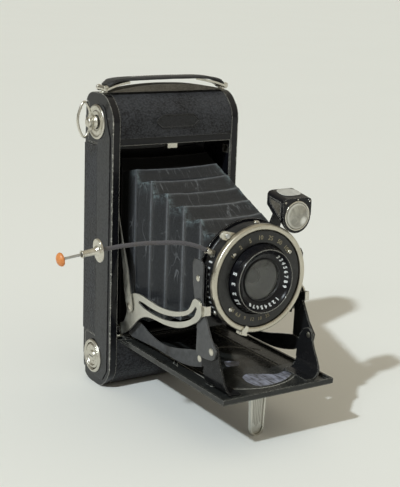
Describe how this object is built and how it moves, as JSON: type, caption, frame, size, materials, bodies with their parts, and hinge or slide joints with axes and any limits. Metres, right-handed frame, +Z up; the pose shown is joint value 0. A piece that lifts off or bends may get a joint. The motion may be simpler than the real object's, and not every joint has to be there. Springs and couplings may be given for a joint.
{
  "type": "folding camera",
  "caption": "Folding roll-film camera, bed down: leather-covered body, tapered bellows, lens standard on folding legs, reflecting finder, cable release and bed foot.",
  "frame": {"origin": "centre of the flat lower end of the body, which the camera stands on", "axes": "+Z up along the body's length, -Y forwards along the lens axis, +X to the right seen from the front"},
  "size_m": [0.1541, 0.1447, 0.1832],
  "materials": {
    "black_enamel": "glossy baked black enamel, chipped along the edges",
    "black_metal": "satin black lacquer on pressed metal",
    "grey_metal": "worn black lacquer with a grey sheen",
    "leather": "fine pebbled black leather",
    "strap_leather": "smooth black strap leather, worn edges",
    "bellows_leather": "thin black leather with blue-grey worn corners and creases",
    "nickel": "warm satin nickel plate",
    "steel": "plain steel",
    "glass": "uncoated polished glass",
    "red_glass": "deep red window",
    "orange_paint": "orange moulded button on a nickel rod",
    "braid": "grey woven braid"
  },
  "bodies": {
    "root": {"body_shell": "black_enamel", "front_leather_upper": "leather", "front_leather_lower": "leather", "side_leather_left": "leather", "side_leather_right": "leather", "film_gate": "black_metal", "film_roller_upper": "nickel", "film_roller_lower": "nickel", "key_escutcheon": "nickel", "feed_escutcheon": "nickel", "back_hinge_pin": "steel", "bed_hinge_pin": "nickel", "carrying_strap": "strap_leather", "strap_loop_left": "nickel", "strap_loop_right": "nickel", "bellows": "bellows_leather"},
    "bed": {"bed": "black_enamel", "bed_leather": "leather", "bed_bracket_left": "black_metal", "bed_bracket_right": "black_metal"},
    "foot": {"bed_foot": "nickel"},
    "legs": {"leg_left": "grey_metal", "leg_right": "grey_metal"},
    "standard": {"lens_standard": "black_enamel", "shutter_housing": "black_metal", "shutter_blades": "black_metal", "shutter_face": "black_metal", "rear_lens": "glass", "cable_socket": "nickel"},
    "lock_arms": {"lock_arm_left": "nickel", "lock_arm_right": "nickel"},
    "struts": {"strut_left": "nickel", "strut_right": "nickel"},
    "focus": {"focus_ring": "black_enamel", "front_lens": "glass"},
    "speed": {"speed_ring": "nickel"},
    "aperture": {"aperture_lever": "nickel"},
    "trigger": {"release_lever": "nickel"},
    "finder": {"finder_housing": "black_enamel", "finder_front_lens": "glass", "finder_top_lens": "glass"},
    "release": {"release_cable": "braid", "thumb_plate": "nickel"},
    "push_button": {"plunger": "orange_paint"},
    "key": {"winding_key": "nickel", "take_up_spool": "black_metal"},
    "bail": {"key_bail": "nickel"},
    "feed": {"feed_spool": "black_metal"},
    "knob": {"feed_knob": "nickel"},
    "door": {"back_door": "black_metal", "back_leather": "leather", "pressure_plate": "black_metal", "red_window": "red_glass"},
    "window_cover": {"red_window_cover": "nickel"},
    "latch": {"back_latch": "nickel"},
    "bed_button": {"bed_release_button": "black_enamel"},
    "catch": {"bed_catch": "nickel"}
  },
  "joints": [
    {"name": "bed_fold", "type": "hinge", "parent": "root", "child": "bed", "pos_m": [0, -0.0148, 0.0334], "axis": [-1, 0, 0], "range_deg": [0, 90], "deforming": ["bellows"]},
    {"name": "foot_fold", "type": "hinge", "parent": "bed", "child": "foot", "pos_m": [0, -0.1075, 0.0284], "axis": [1, 0, 0], "range_deg": [0, 88]},
    {"name": "leg_swing", "type": "hinge", "parent": "bed", "child": "legs", "pos_m": [0, -0.11, 0.0525], "axis": [-1, 0, 0], "range_deg": [0, 69.3]},
    {"name": "standard_level", "type": "hinge", "parent": "legs", "child": "standard", "pos_m": [0, -0.0946, 0.0888], "axis": [-1, 0, 0], "range_deg": [-159.3, 0]},
    {"name": "lock_arm_swing", "type": "hinge", "parent": "root", "child": "lock_arms", "pos_m": [0, -0.0126, 0.0375], "axis": [-1, 0, 0], "range_deg": [0, 77.1]},
    {"name": "strut_swing", "type": "hinge", "parent": "root", "child": "struts", "pos_m": [0, -0.0085, 0.118], "axis": [-1, 0, 0], "range_deg": [-23.9, 0]},
    {"name": "release_stow", "type": "slide", "parent": "standard", "child": "release", "axis": [-1, 0, 0], "range_m": [0, 0.0241]},
    {"name": "plunger_push", "type": "slide", "parent": "release", "child": "push_button", "axis": [0.9936, 0, 0.1132], "range_m": [0, 0.0055], "stiffness_N_per_m": 40},
    {"name": "focus_turn", "type": "hinge", "parent": "standard", "child": "focus", "pos_m": [0, -0.104, 0.087], "axis": [0, 1, 0], "range_deg": [0, 240]},
    {"name": "speed_turn", "type": "hinge", "parent": "standard", "child": "speed", "pos_m": [0, -0.103, 0.087], "axis": [0, 1, 0], "range_deg": [-50, 50]},
    {"name": "aperture_turn", "type": "hinge", "parent": "standard", "child": "aperture", "pos_m": [0, -0.103, 0.087], "axis": [0, 1, 0], "range_deg": [-25, 25]},
    {"name": "trigger_press", "type": "hinge", "parent": "standard", "child": "trigger", "pos_m": [0, -0.1, 0.087], "axis": [0, -1, 0], "range_deg": [0, 12], "stiffness_Nm_per_rad": 0.02},
    {"name": "finder_turn", "type": "hinge", "parent": "standard", "child": "finder", "pos_m": [0.021, -0.0955, 0.1234], "axis": [0, 1, 0], "range_deg": [0, 90]},
    {"name": "key_turn", "type": "hinge", "parent": "root", "child": "key", "pos_m": [-0.044, 0.002, 0.1577], "axis": [-1, 0, 0], "continuous": true},
    {"name": "bail_fold", "type": "hinge", "parent": "key", "child": "bail", "pos_m": [-0.0465, 0.002, 0.1577], "axis": [0, 0, 1], "range_deg": [0, 85]},
    {"name": "feed_turn", "type": "hinge", "parent": "root", "child": "feed", "pos_m": [0, 0.0034, 0.0166], "axis": [-1, 0, 0], "continuous": true},
    {"name": "knob_pull", "type": "slide", "parent": "root", "child": "knob", "axis": [-1, 0, 0], "range_m": [0, 0.006], "stiffness_N_per_m": 150},
    {"name": "door_open", "type": "hinge", "parent": "root", "child": "door", "pos_m": [0, 0.0132, 0.0042], "axis": [-1, 0, 0], "range_deg": [0, 88]},
    {"name": "window_cover_slide", "type": "slide", "parent": "door", "child": "window_cover", "axis": [-1, 0, 0], "range_m": [0, 0.017]},
    {"name": "latch_slide", "type": "slide", "parent": "root", "child": "latch", "axis": [-1, 0, 0], "range_m": [0, 0.004]},
    {"name": "bed_button_press", "type": "slide", "parent": "root", "child": "bed_button", "axis": [-1, 0, 0], "range_m": [0, 0.0015], "stiffness_N_per_m": 300},
    {"name": "catch_slide", "type": "slide", "parent": "root", "child": "catch", "axis": [0, 1, 0], "range_m": [0, 0.0011]}
  ],
  "couplings": [
    {"joint": "leg_swing", "follows": "bed_fold", "ratio": 0.769},
    {"joint": "standard_level", "follows": "bed_fold", "ratio": -1.769},
    {"joint": "lock_arm_swing", "follows": "bed_fold", "ratio": 0.8556},
    {"joint": "strut_swing", "follows": "bed_fold", "ratio": -0.265},
    {"joint": "release_stow", "follows": "bed_fold", "m_per_rad": 0.01528},
    {"joint": "catch_slide", "follows": "bed_button_press", "ratio": 0.7}
  ]
}
